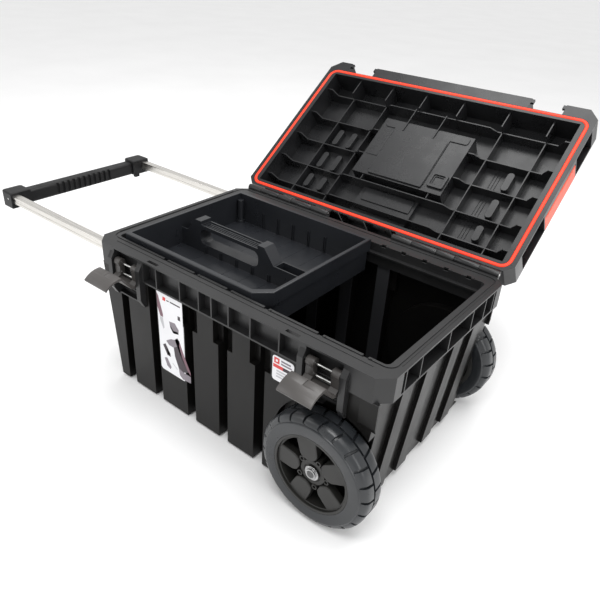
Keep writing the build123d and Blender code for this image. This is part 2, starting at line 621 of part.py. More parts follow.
with BuildPart(lid_plane) as lid:
    # outline with the two latch bays in the front edge
    with BuildSketch(lid_plane.offset(-lid_depth)):
        Polygon(
            (-lid_half, lid_rear_v + lid_corner),
            (-lid_half + lid_corner, lid_rear_v),
            (-lid_rear_recess_half - lid_rear_recess, lid_rear_v),
            (-lid_rear_recess_half, lid_rear_v + lid_rear_recess),
            (lid_rear_recess_half, lid_rear_v + lid_rear_recess),
            (lid_rear_recess_half + lid_rear_recess, lid_rear_v),
            (lid_half - lid_corner, lid_rear_v),
            (lid_half, lid_rear_v + lid_corner),
            (lid_half, lid_front_v - lid_front_corner),
            (lid_half - lid_front_corner, lid_front_v),
            (corner_right, lid_front_v),
            (corner_right, lid_bay_v),
            (tab_right, lid_bay_v),
            (tab_right, lid_front_v),
            (tab_left, lid_front_v),
            (tab_left, lid_bay_v),
            (corner_left, lid_bay_v),
            (corner_left, lid_front_v),
            (-lid_half + lid_front_corner, lid_front_v),
            (-lid_half, lid_front_v - lid_front_corner),
            align=None,
        )
    extrude(amount=lid_depth)
    # the hollow under the lid
    block((-cavity_x, cavity_x), (cavity_rear, cavity_front), (-lid_depth + wall, 1), mode=Mode.SUBTRACT)
    # outer pockets: ends, rear and the front tab
    for end in (-1, 1):
        for low, high in ((lid_rear_v + 40, clip_low_v - 4), (clip_high_v + 4, lid_front_v - 44)):
            block((end * skin_x, end * (lid_half + 1)), (low, high), (-lid_depth + wall, -lid_flange),
                  mode=Mode.SUBTRACT)
        block((end * skin_x, end * (lid_half + 1)), (clip_low_v - 0.6, clip_high_v + 0.6), (-lid_depth - 1, -12),
              mode=Mode.SUBTRACT)
    rear_span = 2 * (lid_half - 60)
    rear_edges = [rear_span * (k / lid_rear_pockets - 0.5) for k in range(lid_rear_pockets + 1)]
    for low, high in zip(rear_edges, rear_edges[1:]):
        block((low + 1.2, high - 1.2), (lid_rear_v - 1, rear_skin), (-lid_depth + wall, -lid_flange),
              mode=Mode.SUBTRACT)
    tab_step = (tab_right - tab_left - 6) / lid_tab_pockets
    tab_edges = [tab_left + 3 + tab_step * k for k in range(lid_tab_pockets + 1)]
    for low, high in zip(tab_edges, tab_edges[1:]):
        block((low + 1.2, high - 1.2), (front_skin, lid_front_v + 1), (-lid_depth + wall, -lid_flange),
              mode=Mode.SUBTRACT)
    # middle of the top is dished; its underside is the raised box between the ribs
    block(dish_u, dish_v, (-lid_depth + 1, -dish_floor))
    block((dish_u[0] + 32, dish_u[1] - 44), (dish_v[0] + 13, dish_v[1] - 17),
          (-dish_floor - 1, -dish_floor + dish_plate))
    block(low_dish_u, low_dish_v, (-lid_depth + 1, -low_dish_floor))
    block((dish_u[0] + wall, dish_u[1] - wall), (dish_v[0] + wall, dish_v[1] - wall),
          (-lid_depth - 1, -dish_floor - wall), mode=Mode.SUBTRACT)
    # ribs across and along the underside
    for u in lid_rib_u:
        block((u - rib_wall / 2, u + rib_wall / 2), (cavity_rear - 1, cavity_front + 1), (-lid_depth + 1, -rib_deep))
    for v in lid_rib_v:
        with BuildSketch(Plane(lid_plane.from_local_coords((0, v, 0)), x_dir=(1, 0, 0),
                               z_dir=-lid_plane.y_dir)):
            Polygon(
                (-cavity_x - 1, -lid_depth + 1),
                (cavity_x + 1, -lid_depth + 1),
                (cavity_x + 1, -rib_low),
                (cavity_x - 12, -rib_low),
                (cavity_x - 24, -rib_deep),
                (dish_u[1] + 27, -rib_deep),
                (dish_u[1] + 13, -rib_middle),
                (dish_u[0] - 15, -rib_middle),
                (dish_u[0] - 29, -rib_deep),
                (-cavity_x + 24, -rib_deep),
                (-cavity_x + 12, -rib_low),
                (-cavity_x - 1, -rib_low),
                align=None,
            )
        extrude(amount=rib_wall / 2, both=True)
    for u in lid_front_rib_u:
        block((u - rib_wall / 2, u + rib_wall / 2), (lid_rib_v[-1], cavity_front + 1),
              (-lid_depth + 1, -front_rib_low))
    # seal groove
    seal_low, seal_high = seal_inset_rear + hinge_reach, hinge_y + rim_y - seal_inset_front
    seal_half = rim_x - seal_inset_x
    with BuildSketch(lid_plane.offset(-seal_height + seal_proud)):
        with Locations((0, (seal_low + seal_high) / 2)):
            RectangleRounded(2 * seal_half + seal_width, seal_high - seal_low + seal_width, 20)
            RectangleRounded(2 * seal_half - seal_width, seal_high - seal_low - seal_width, 13,
                             mode=Mode.SUBTRACT)
    extrude(amount=seal_height, mode=Mode.SUBTRACT)
    # nubs that the latches hold, in the sides of the bays
    for edge, way in ((corner_left, 1), (tab_left, -1), (tab_right, 1), (corner_right, -1)):
        block((edge - way, edge + way * catch_nub), (lid_front_v - 10, lid_front_v - 1.5), (-nub_height, 0))
    # hinge knuckles between those of the tub
    for end in (-1, 1):
        for k in (1, 3):
            low, high = knuckle_edges[k] + 0.4, knuckle_edges[k + 1] - 0.4
            rod(end * (low + high) / 2, 0, 0, knuckle_radius, high - low, "X")
            block((end * low, end * high), (0, lid_rear_v + 4), (-knuckle_radius, -1.5))
            rod(end * (low + high) / 2, 0, 0, hinge_pin_diameter / 2 + running_gap, high - low + 1, "X",
                mode=Mode.SUBTRACT)
        rod(end * (lid_half - clip_pin_inset), clip_centre_v, clip_pin_w, clip_pin_diameter / 2 + 0.01,
            clip_length + 9, "Y", mode=Mode.SUBTRACT)
save(lid, "lid")

with BuildPart() as seal:
    with BuildSketch(lid_plane.offset(-seal_height + seal_proud)):
        with Locations((0, (seal_low + seal_high) / 2)):
            RectangleRounded(2 * seal_half + seal_width - 0.4, seal_high - seal_low + seal_width - 0.4, 19.8)
            RectangleRounded(2 * seal_half - seal_width + 0.4, seal_high - seal_low - seal_width + 0.4, 13.2,
                             mode=Mode.SUBTRACT)
    extrude(amount=seal_height)
    fillet(seal.edges().group_by(Axis(lid_plane.origin, lid_plane.z_dir))[-1], 2.2)
save(seal, "lid_seal")

for name, end in ends.items():
    face = end * lid_half
    pin_u = face - end * clip_pin_inset
    with BuildPart(lid_plane) as clip:
        block((face - end * clip_plate, face), (clip_low_v, clip_high_v), (clip_pin_w - clip_height, clip_pin_w))
        rod(pin_u, clip_centre_v, clip_pin_w, clip_pin_inset - 0.3, clip_length, "Y")
        block((face - end * 9, face - end), (clip_low_v + 6, clip_high_v - 6),
              (clip_pin_w - clip_height, clip_pin_w - clip_height + 3))
        rod(pin_u, clip_centre_v, clip_pin_w, clip_pin_diameter / 2 + running_gap, clip_length + 1, "Y",
            mode=Mode.SUBTRACT)
    save(clip, f"side_clip_{name}")
    with BuildPart(lid_plane) as clip_pin:
        rod(pin_u, clip_centre_v, clip_pin_w, clip_pin_diameter / 2, clip_length + 8, "Y")
    save(clip_pin, f"side_clip_pin_{name}")

    with BuildPart() as hinge_pin:
        rod(end * (knuckle_edges[0] + knuckle_edges[5]) / 2, hinge_y, hinge_z, hinge_pin_diameter / 2,
            knuckle_edges[5] - knuckle_edges[0], "X")
    save(hinge_pin, f"hinge_pin_{name}")

# ================================================================= latches
for name, centre in latch_x.items():
    half = lever_width / 2
    with BuildPart() as lever:
        # section of the lever, from the pivot: outwards along -Y, upwards along Z
        for arm in (-1, 1):
            x = centre + arm * (half - arm_width / 2)
            rod(x, -pivot_y, pivot_z, barrel_radius, arm_width, "X")
            with BuildSketch(Plane.YZ.offset(x)):
                Polygon(
                    (-pivot_y + 4.5, pivot_z),
                    (-pivot_y + 4.5, pivot_z - 25),
                    (-pivot_y, pivot_z - 29),
                    (-pivot_y - 12, pivot_z - 29),
                    (-pivot_y - 12, pivot_z - 24),
                    (-pivot_y - 5.5, pivot_z - 20),
                    (-pivot_y - 5.5, pivot_z),
                    align=None,
                )
            extrude(amount=arm_width / 2, both=True)
        with BuildSketch(Plane.YZ.offset(centre)):
            with BuildLine():
                Polyline(
                    (-pivot_y, pivot_z - 29),
                    (-pivot_y - 17, pivot_z - 28),
                    (-pivot_y - 36, pivot_z - 5),
                )
                ThreePointArc(
                    (-pivot_y - 36, pivot_z - 5),
                    (-pivot_y - 52, pivot_z - 6),
                    (-pivot_y - 66, pivot_z - 15),
                )
                Line((-pivot_y - 66, pivot_z - 15), (-pivot_y - 67.5, pivot_z - 12))
                ThreePointArc(
                    (-pivot_y - 67.5, pivot_z - 12),
                    (-pivot_y - 52, pivot_z - 2),
                    (-pivot_y - 35, pivot_z),
                )
                Polyline(
                    (-pivot_y - 35, pivot_z),
                    (-pivot_y - 16, pivot_z - 24.5),
                    (-pivot_y, pivot_z - 25.5),
                    (-pivot_y, pivot_z - 29),
                )
            make_face()
        extrude(amount=half, both=True)
        block((centre - 0.4, centre + 0.4), (-pivot_y - 70, -pivot_y - 36), (pivot_z - 1.2, pivot_z + 2),
              mode=Mode.SUBTRACT)
        rod(centre, -pivot_y, pivot_z, latch_pin_diameter / 2 + running_gap, lever_width + 1, "X",
            mode=Mode.SUBTRACT)
        rod(centre, -pivot_y - 0.5, pivot_z - 19, catch_bar_diameter / 2 + 0.01, lever_width - 2 * arm_width + 8,
            "X", mode=Mode.SUBTRACT)
    save(lever, f"latch_lever_{name}")
    with BuildPart() as catch_bar:
        rod(centre, -pivot_y - 0.5, pivot_z - 19, catch_bar_diameter / 2, lever_width - 2 * arm_width + 7, "X")
    save(catch_bar, f"latch_bar_{name}")
    with BuildPart() as latch_pin:
        rod(centre, -pivot_y, pivot_z, latch_pin_diameter / 2, 2 * (ear_x + ear_width) - 1, "X")
    save(latch_pin, f"latch_pin_{name}")

# ================================================================= lift-out tray
tray_left = -bore_x + tray_end_gap
tray_right = tray_left + tray_length
tray_top = rim_height + tray_rise
tray_bottom = tray_top - tray_depth
step_z = rim_height - ledge_drop + 0.2
tray_y = tray_width / 2
lower_y = tray_y - tray_step
with BuildPart() as tray:
    with BuildSketch(Plane.XY.offset(tray_bottom)):
        with BuildLine():
            Polyline(
                (tray_left + 2, lower_y), (tray_right - 2, lower_y), (tray_right - 2, -lower_y + tray_chamfer),
                (tray_right - 2 - tray_chamfer, -lower_y), (tray_left + 2, -lower_y), close=True,
            )
        make_face()
    extrude(amount=step_z - tray_bottom)
    with BuildSketch(Plane.XY.offset(step_z)):
        with BuildLine():
            Polyline(
                (tray_left, tray_y), (tray_right, tray_y), (tray_right, -tray_y + tray_chamfer),
                (tray_right - tray_chamfer, -tray_y), (tray_left, -tray_y), close=True,
            )
        make_face()
    extrude(amount=tray_top - step_z)
    fillet(tray.edges().group_by(Axis.Z)[-1], 2)
    inner_y = lower_y - tray_wall
    with BuildSketch(Plane.XY.offset(tray_bottom + tray_wall)):
        with BuildLine():
            Polyline(
                (tray_left + 6, inner_y), (tray_right - 6, inner_y), (tray_right - 6, -inner_y + tray_chamfer),
                (tray_right - 6 - tray_chamfer, -inner_y), (tray_left + 6, -inner_y), close=True,
            )
        make_face()
    extrude(amount=tray_depth, mode=Mode.SUBTRACT)
    # spine: two low walls, and the grip between them with its hand hole
    spine_low, spine_high = spine_y - spine_width / 2, spine_y + spine_width / 2
    spine_top = tray_bottom + tray_wall + spine_height
    grip_left = tray_grip_centre - grip_hole_length / 2 - 13
    grip_right = tray_grip_centre + grip_hole_length / 2 + 13
    for y in (spine_low, spine_high - tray_wall):
        block((tray_left + 5, tray_right - 5), (y, y + tray_wall), (tray_bottom + 1, spine_top))
    for x in (grip_left - spine_reach, grip_right + spine_reach):
        block((x - tray_wall / 2, x + tray_wall / 2), (spine_low, spine_high), (tray_bottom + 1, spine_top))
    with BuildSketch(Plane.XZ.offset(-spine_y)):
        Polygon(
            (grip_left - 22, tray_bottom + 1),
            (grip_right + 22, tray_bottom + 1),
            (grip_right + 22, spine_top),
            (grip_right, tray_top + 2),
            (grip_right - 15, tray_top + 2),
            (grip_right - 15, tray_top - 5),
            (grip_left + 15, tray_top - 5),
            (grip_left + 15, tray_top + 2),
            (grip_left, tray_top + 2),
            (grip_left - 22, spine_top),
            align=None,
        )
    extrude(amount=spine_width / 2, both=True)
    hole_bottom = tray_top - 12 - grip_hole_height
    with BuildSketch(Plane.XZ.offset(-spine_y)):
        with Locations((tray_grip_centre, hole_bottom + grip_hole_height / 2)):
            RectangleRounded(grip_hole_length, grip_hole_height, 12)
    extrude(amount=spine_width, both=True, mode=Mode.SUBTRACT)
    block((grip_left + 16, grip_right - 16), (spine_low + 3, spine_high - 3), (tray_top - 8, tray_top),
          mode=Mode.SUBTRACT)
    # divider slots on the long walls and on the spine
    for k in range(slot_count):
        x = tray_grip_centre + (k - (slot_count - 1) / 2) * slot_pitch + 20
        for y, way, top in (
            (inner_y, -1, tray_bottom + 1 + slot_height),
            (-inner_y, 1, tray_bottom + 1 + slot_height),
            (spine_high, 1, hole_bottom - 3),
            (spine_low, -1, hole_bottom - 3),
        ):
            for edge in (-2 * slot_rib, slot_rib):
                block((x + edge, x + edge + slot_rib), (y - way, y + way * 2.5), (tray_bottom + 1, top))
save(tray, "tray")

# ================================================================= labels on the front wall
label_left = wall_grooves[3] + groove_width / 2 + 2
label_right = wall_grooves[0] - groove_width / 2 - 2
with BuildPart() as large_label:
    with BuildSketch(Plane.XZ.offset(panel_y)):
        with BuildLine():
            top = shelf_z - 4
            notch_x = wall_grooves[0] - pocket_width / 2 - 2
            Polyline(
                (label_left, 78), (label_right, 78), (label_right, shelf_z - pocket_height - 2),
                (notch_x, shelf_z - pocket_height - 2), (notch_x, top), (label_left, top), close=True,
            )
        make_face()
    extrude(amount=0.3)
save(large_label, "large_label")

small_left = wall_grooves[2] + pocket_width / 2 + 3
with BuildPart() as small_label:
    with BuildSketch(Plane.XZ.offset(panel_y)):
        with Locations((small_left + 20, shelf_z - 29)):
            RectangleRounded(40, 44, 5)
    extrude(amount=0.3)
save(small_label, "small_label")
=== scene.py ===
"""Looks of the rolling tool box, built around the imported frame. Metres, +Z up, wheels at +X."""

import json
import math

import bmesh
import bpy
from mathutils import Matrix, Vector


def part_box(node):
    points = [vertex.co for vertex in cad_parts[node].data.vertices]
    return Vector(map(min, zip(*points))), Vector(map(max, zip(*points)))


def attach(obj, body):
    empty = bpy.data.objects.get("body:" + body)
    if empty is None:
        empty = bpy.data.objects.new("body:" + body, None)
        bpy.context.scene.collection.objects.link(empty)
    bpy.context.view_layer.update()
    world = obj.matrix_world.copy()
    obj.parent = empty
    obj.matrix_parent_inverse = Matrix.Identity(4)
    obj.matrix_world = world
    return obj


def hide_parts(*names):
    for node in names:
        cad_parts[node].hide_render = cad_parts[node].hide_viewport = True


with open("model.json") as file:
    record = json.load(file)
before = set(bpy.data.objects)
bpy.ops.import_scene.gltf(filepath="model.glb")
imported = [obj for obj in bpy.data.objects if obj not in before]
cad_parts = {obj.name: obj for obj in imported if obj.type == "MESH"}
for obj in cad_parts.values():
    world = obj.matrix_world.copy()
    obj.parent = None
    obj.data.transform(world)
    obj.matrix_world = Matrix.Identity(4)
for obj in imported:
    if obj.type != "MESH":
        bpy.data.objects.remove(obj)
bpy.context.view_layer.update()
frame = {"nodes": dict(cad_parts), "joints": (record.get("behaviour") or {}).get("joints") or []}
nodes = frame["nodes"]
scene = bpy.context.scene

SIDES = {"front": -1, "rear": 1}


# ---------------------------------------------------------------- materials
def new_material(name):
    """An empty node material and its shader."""
    material = bpy.data.materials.new(name)
    material.use_nodes = True
    shader = material.node_tree.nodes["Principled BSDF"]
    return material, shader


def object_noise(material, scale, detail=3.0, roughness=0.5, stretch=(1, 1, 1)):
    """Noise fixed to the object, its pattern stretched along chosen axes."""
    tree = material.node_tree
    place = tree.nodes.new("ShaderNodeTexCoord")
    mapping = tree.nodes.new("ShaderNodeMapping")
    mapping.inputs["Scale"].default_value = stretch
    noise = tree.nodes.new("ShaderNodeTexNoise")
    noise.inputs["Scale"].default_value = scale
    noise.inputs["Detail"].default_value = detail
    noise.inputs["Roughness"].default_value = roughness
    tree.links.new(place.outputs["Object"], mapping.inputs["Vector"])
    tree.links.new(mapping.outputs["Vector"], noise.inputs["Vector"])
    return noise.outputs["Fac"]


def ramp(material, value, stops):
    """A colour ramp from (position, colour) pairs."""
    node = material.node_tree.nodes.new("ShaderNodeValToRGB")
    elements = node.color_ramp.elements
    while len(elements) < len(stops):
        elements.new(0.5)
    for element, (position, colour) in zip(elements, stops):
        element.position = position
        element.color = (*colour, 1.0)
    material.node_tree.links.new(value, node.inputs["Fac"])
    return node.outputs["Color"]


def spread(material, value, low, high):
    """Map noise onto a range of numbers."""
    node = material.node_tree.nodes.new("ShaderNodeMapRange")
    node.inputs["From Min"].default_value = 0.3
    node.inputs["From Max"].default_value = 0.7
    node.inputs["To Min"].default_value = low
    node.inputs["To Max"].default_value = high
    material.node_tree.links.new(value, node.inputs["Value"])
    return node.outputs["Result"]


def bumps(material, shader, layers):
    """Stack bump layers given as (height, strength, distance in metres)."""
    tree = material.node_tree
    previous = None
    for height, strength, distance in layers:
        node = tree.nodes.new("ShaderNodeBump")
        node.inputs["Strength"].default_value = strength
        node.inputs["Distance"].default_value = distance
        tree.links.new(height, node.inputs["Height"])
        if previous is not None:
            tree.links.new(previous, node.inputs["Normal"])
        previous = node.outputs["Normal"]
    tree.links.new(previous, shader.inputs["Normal"])


def moulded(name, dark, light, gloss, grain=900.0, grain_height=0.00006, shine=0.32):
    """Moulded plastic or rubber: clouded colour, uneven gloss, fine grain and a slow surface wave."""
    material, shader = new_material(name)
    links = material.node_tree.links
    clouds = object_noise(material, 7.0, 4.0, 0.6)
    links.new(ramp(material, clouds, [(0.3, dark), (0.7, light)]), shader.inputs["Base Color"])
    patches = object_noise(material, 26.0, 5.0, 0.6, (1, 1, 0.4))
    links.new(spread(material, patches, gloss[0], gloss[1]), shader.inputs["Roughness"])
    fine = object_noise(material, grain, 2.0)
    wave = object_noise(material, 18.0, 1.0)
    bumps(material, shader, [(fine, 0.5, grain_height), (wave, 0.25, 0.0006)])
    shader.inputs["IOR"].default_value = 1.49
    shader.inputs["Specular IOR Level"].default_value = shine
    return material


def light_painted_inside(material, painted_light_tone):
    """Painted light: give the faces inside the tub's leaning walls a paler tone that stands in for the light
    and reflections they catch, not a colour of the plastic.
    """
    half_width, half_length, end_lean = 0.159, 0.2645, 0.0928
    nodes, links = material.node_tree.nodes, material.node_tree.links
    shader = next(node for node in nodes if node.type == "BSDF_PRINCIPLED")
    place = nodes.new("ShaderNodeTexCoord")
    split = nodes.new("ShaderNodeSeparateXYZ")
    links.new(place.outputs["Object"], split.inputs["Vector"])

    def calculate(operation, *values):
        node = nodes.new("ShaderNodeMath")
        node.operation = operation
        for socket, value in zip(node.inputs, values):
            if isinstance(value, float):
                socket.default_value = value
            else:
                links.new(value, socket)
        return node.outputs["Value"]

    # mask of the inside faces, where the paler tone is painted as light on the inner walls
    across = calculate("LESS_THAN", calculate("ABSOLUTE", split.outputs["Y"]), half_width)
    upright = calculate("SUBTRACT", calculate("ABSOLUTE", split.outputs["X"]),
                        calculate("MULTIPLY", split.outputs["Z"], end_lean))
    inside = calculate("MULTIPLY", across, calculate("LESS_THAN", upright, half_length))
    tones = shader.inputs["Base Color"].links[0].from_socket
    # mix the painted light tone over the plastic's own tones on the inside faces
    mix = nodes.new("ShaderNodeMix")
    mix.data_type = "RGBA"
    colours = {socket.name: socket for socket in mix.inputs if socket.type == "RGBA"}
    links.new(inside, mix.inputs["Factor"])
    links.new(tones, colours["A"])
    colours["B"].default_value = (*painted_light_tone, 1)
    mixed = next(socket for socket in mix.outputs if socket.type == "RGBA")
    links.new(mixed, shader.inputs["Base Color"])


def metal(name, dark, light, gloss, brushed=(1, 1, 1), metallic=1.0):
    """Metal with drawn lines along one axis."""
    material, shader = new_material(name)
    links = material.node_tree.links
    lines = object_noise(material, 260.0, 3.0, 0.6, brushed)
    links.new(ramp(material, lines, [(0.3, dark), (0.7, light)]), shader.inputs["Base Color"])
    links.new(spread(material, lines, gloss[0], gloss[1]), shader.inputs["Roughness"])
    bumps(material, shader, [(lines, 0.3, 0.00004)])
    shader.inputs["Metallic"].default_value = metallic
    return material


tub_black = moulded("tub_black", (0.0038, 0.0036, 0.0034), (0.0062, 0.0058, 0.0054), (0.28, 0.40),
                    shine=0.20)
# painted light: the tub's inside faces get a paler grey standing in for the light and reflections on the
# inner walls
light_painted_inside(tub_black, (0.036, 0.037, 0.040))
rim_black = moulded("rim_black", (0.0120, 0.0120, 0.0125), (0.0170, 0.0170, 0.0175), (0.32, 0.44),
                    shine=0.42)
lid_black = moulded("lid_black", (0.0095, 0.0097, 0.0105), (0.0155, 0.0158, 0.0170), (0.22, 0.36),
                    shine=0.40)
tray_black = moulded("tray_black", (0.0120, 0.0130, 0.0155), (0.0180, 0.0195, 0.0230), (0.26, 0.40),
                     shine=0.45)
grip_black = moulded("grip_black", (0.0050, 0.0050, 0.0055), (0.0080, 0.0080, 0.0085), (0.42, 0.58))
guide_black = moulded("guide_black", (0.010, 0.010, 0.011), (0.015, 0.015, 0.016), (0.35, 0.5))
lever_grey = moulded("lever_grey", (0.048, 0.044, 0.042), (0.070, 0.065, 0.062), (0.30, 0.44), shine=0.5)
seal_red = moulded("seal_red", (0.90, 0.040, 0.012), (1.0, 0.058, 0.018), (0.40, 0.52), 600.0, 0.00004)
clip_orange = moulded("clip_orange", (0.78, 0.050, 0.004), (0.90, 0.070, 0.008), (0.26, 0.36), 700.0, 0.00003)
tyre_black = moulded("tyre_black", (0.0110, 0.0125, 0.0145), (0.0210, 0.0235, 0.0265), (0.24, 0.40),
                     700.0, 0.0001, shine=0.55)
hub_black = moulded("hub_black", (0.0120, 0.0118, 0.0108), (0.0200, 0.0196, 0.0180), (0.34, 0.50),
                    shine=0.42)
nylon_black = moulded("nylon_black", (0.02, 0.02, 0.02), (0.03, 0.03, 0.03), (0.4, 0.55))
label_white = moulded("label_white", (0.72, 0.72, 0.74), (0.82, 0.82, 0.84), (0.30, 0.38), 300.0, 0.00001)
print_grey = moulded("print_grey", (0.16, 0.14, 0.16), (0.26, 0.23, 0.26), (0.30, 0.38), 300.0, 0.00001)
print_dark = moulded("print_dark", (0.030, 0.022, 0.028), (0.060, 0.045, 0.055), (0.30, 0.38), 300.0, 0.00001)
print_mauve = moulded("print_mauve", (0.13, 0.065, 0.085), (0.22, 0.12, 0.15), (0.30, 0.38), 300.0, 0.00001)
print_red = moulded("print_red", (0.55, 0.045, 0.045), (0.68, 0.070, 0.065), (0.30, 0.38), 300.0, 0.00001)
print_pale = moulded("print_pale", (0.42, 0.42, 0.44), (0.55, 0.55, 0.57), (0.30, 0.38), 300.0, 0.00001)
bar_silver = metal("bar_silver", (0.60, 0.58, 0.55), (0.72, 0.70, 0.66), (0.22, 0.34), (0.05, 1, 1))
pin_silver = metal("pin_silver", (0.50, 0.50, 0.49), (0.66, 0.66, 0.65), (0.18, 0.32), (0.1, 1, 1))
axle_grey = metal("axle_grey", (0.10, 0.10, 0.10), (0.16, 0.16, 0.16), (0.30, 0.42))
nut_silver = metal("nut_silver", (0.34, 0.34, 0.34), (0.50, 0.50, 0.50), (0.16, 0.30))

# CAD nodes by material, and how wide their moulded edges are rounded
FINISHES = [
    (tub_black, 0.0008, ["tub"]),
    (rim_black, 0.0006, ["tub_rim"]),
    (lid_black, 0.0006, ["lid"]),
    (tray_black, 0.0006, ["tray"]),
    (seal_red, 0.0, ["lid_seal"]),
    (clip_orange, 0.0006, ["side_clip_left", "side_clip_right"]),
    (lever_grey, 0.0006, ["latch_lever_left", "latch_lever_right"]),
    (pin_silver, 0.0003, ["latch_bar_left", "latch_bar_right", "latch_pin_left", "latch_pin_right",
                          "hinge_pin_left", "hinge_pin_right", "side_clip_pin_left", "side_clip_pin_right",
                          "handle_screws"]),
    (axle_grey, 0.0003, ["axle_front", "axle_rear"]),
    (nut_silver, 0.0003, ["push_nut_front", "push_nut_rear"]),
    (nylon_black, 0.0003, ["thrust_washer_front", "thrust_washer_rear"]),
    (bar_silver, 0.0004, ["handle_bar_front", "handle_bar_rear"]),
    (guide_black, 0.0004, ["bar_guide_front", "bar_guide_rear", "bar_slider_front", "bar_slider_rear"]),
    (grip_black, 0.0008, ["handle_grip", "grip_end_front", "grip_end_rear"]),
]


def round_edges(obj, width, segments=2):
    """Join loose triangles, clear flat seams and round the hard edges."""
    weld = obj.modifiers.new("weld", "WELD")
    weld.merge_threshold = 0.00001
    flat = obj.modifiers.new("flat", "DECIMATE")
    flat.decimate_type = "DISSOLVE"
    flat.angle_limit = math.radians(0.5)
    if width > 0:
        bevel = obj.modifiers.new("bevel", "BEVEL")
        bevel.width = width
        bevel.segments = segments
        bevel.limit_method = "ANGLE"
        bevel.angle_limit = math.radians(32)
        bevel.harden_normals = True
        bevel.use_clamp_overlap = True


for material, width, names in FINISHES:
    for name in names:
        if name in nodes:
            nodes[name].data.materials.clear()
            nodes[name].data.materials.append(material)
            round_edges(nodes[name], width)


# ---------------------------------------------------------------- mesh tools
def prism(mesh, outline, low, high, place, material=0):
    """Add a closed prism: a flat outline, taken from low to high and put in place by a function."""
    rings = [[mesh.verts.new(place(a, b, depth)) for a, b in outline] for depth in (low, high)]
    faces = [mesh.faces.new(rings[0]), mesh.faces.new(list(reversed(rings[1])))]
    count = len(outline)
    for k in range(count):
        after = (k + 1) % count
        faces.append(mesh.faces.new((rings[0][after], rings[0][k], rings[1][k], rings[1][after])))
    for face in faces:
        face.material_index = material


def bar(mesh, low, high, place, material=0):
    """Add a closed box between two corners given in the piece's own axes."""
    outline = [(low[0], low[1]), (high[0], low[1]), (high[0], high[1]), (low[0], high[1])]
    prism(mesh, outline, low[2], high[2], place, material)


def band(mesh, outer, inner, low, high, place):
    """Add a closed flat ring between two outlines with the same number of points."""
    rings = [[mesh.verts.new(place(a, b, depth)) for a, b in outline]
             for outline, depth in ((outer, low), (outer, high), (inner, high), (inner, low))]
    count = len(outer)
    for k in range(count):
        after = (k + 1) % count
        for j in range(4):
            one, other = rings[j], rings[(j + 1) % 4]
            mesh.faces.new((one[k], one[after], other[after], other[k]))


def straight(a, b, depth):
    """Place a point along the frame's own axes."""
    return (a, b, depth)


def arc(centre, radius, start, end, steps):
    """Points on an arc, angles in degrees."""
    points = []
    for k in range(steps + 1):
        angle = math.radians(start + (end - start) * k / steps)
        points.append((centre[0] + radius * math.cos(angle), centre[1] + radius * math.sin(angle)))
    return points


def rounded(low, high, radius, steps=6):
    """The outline of a rectangle with round corners."""
    corners = [((high[0] - radius, low[1] + radius), -90), ((high[0] - radius, high[1] - radius), 0),
               ((low[0] + radius, high[1] - radius), 90), ((low[0] + radius, low[1] + radius), 180)]
    points = []
    for centre, start in corners:
        points += arc(centre, radius, start, start + 90, steps)
    return points


def finish_piece(name, mesh, materials, body, bevel=0.0, segments=2, sharp=30, replaces=()):
    """Turn a bmesh into a piece that rides on a body."""
    bmesh.ops.recalc_face_normals(mesh, faces=mesh.faces)
    data = bpy.data.meshes.new(name)
    mesh.to_mesh(data)
    mesh.free()
    for material in materials:
        data.materials.append(material)
    data.polygons.foreach_set("use_smooth", [True] * len(data.polygons))
    data.set_sharp_from_angle(angle=math.radians(sharp))
    obj = bpy.data.objects.new(name, data)
    scene.collection.objects.link(obj)
    if bevel > 0:
        rounding = obj.modifiers.new("bevel", "BEVEL")
        rounding.width = bevel
        rounding.segments = segments
        rounding.limit_method = "ANGLE"
        rounding.angle_limit = math.radians(sharp)
        rounding.harden_normals = True
    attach(obj, body)
    if replaces:
        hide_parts(*replaces)
    return obj


# ---------------------------------------------------------------- labels
FILM = 0.00015  # thickness of the print
PRINTS = [label_white, print_grey, print_dark, print_red, print_mauve, print_pale]


